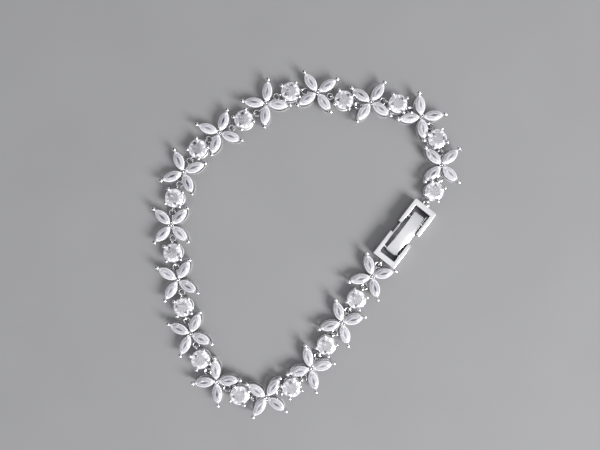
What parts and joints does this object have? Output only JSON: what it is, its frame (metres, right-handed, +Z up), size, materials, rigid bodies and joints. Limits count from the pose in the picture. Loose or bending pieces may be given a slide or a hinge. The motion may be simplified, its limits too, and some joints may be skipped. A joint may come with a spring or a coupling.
{
  "type": "tennis bracelet",
  "caption": "Hinged-link tennis bracelet: four-petal flowers of marquise stones and round stones in turn, closed by a fold-over clasp with a bowed lever.",
  "frame": {"origin": "middle of the loop's box, on the surface that the bracelet lies on", "axes": "+Z up from that surface, +Y along the loop's longest side, +X across it"},
  "size_m": [0.0628, 0.0708, 0.0035],
  "materials": {
    "bright_metal": "rhodium-bright polished silver-coloured metal",
    "set_stones": "clear white faceted zirconia"
  },
  "bodies": {
    "root": {"clasp_base": "bright_metal", "clasp_catch": "bright_metal", "clasp_hinge_pin": "bright_metal", "round_link_01": "set_stones", "flower_link_01": "set_stones", "round_link_02": "set_stones", "flower_link_02": "set_stones", "round_link_03": "set_stones", "flower_link_03": "set_stones", "round_link_04": "set_stones", "flower_link_04": "set_stones", "round_link_05": "set_stones", "flower_link_05": "set_stones", "round_link_06": "set_stones", "flower_link_06": "set_stones", "round_link_07": "set_stones", "flower_link_07": "set_stones", "round_link_08": "set_stones", "flower_link_08": "set_stones", "round_link_09": "set_stones", "flower_link_09": "set_stones", "round_link_10": "set_stones", "flower_link_10": "set_stones", "round_link_11": "set_stones", "flower_link_11": "set_stones", "round_link_12": "set_stones", "flower_link_12": "set_stones", "round_link_13": "set_stones", "flower_link_13": "set_stones", "round_link_14": "set_stones", "flower_link_14": "set_stones", "round_link_15": "set_stones", "flower_link_15": "set_stones"},
    "lever": {"clasp_lever": "bright_metal"}
  },
  "joints": [
    {"name": "clasp_lever_hinge", "type": "hinge", "parent": "root", "child": "lever", "pos_m": [0.01713, -0.00128, 0.0013], "axis": [0.7879, -0.6159, 0], "range_deg": [0, 75]}
  ]
}
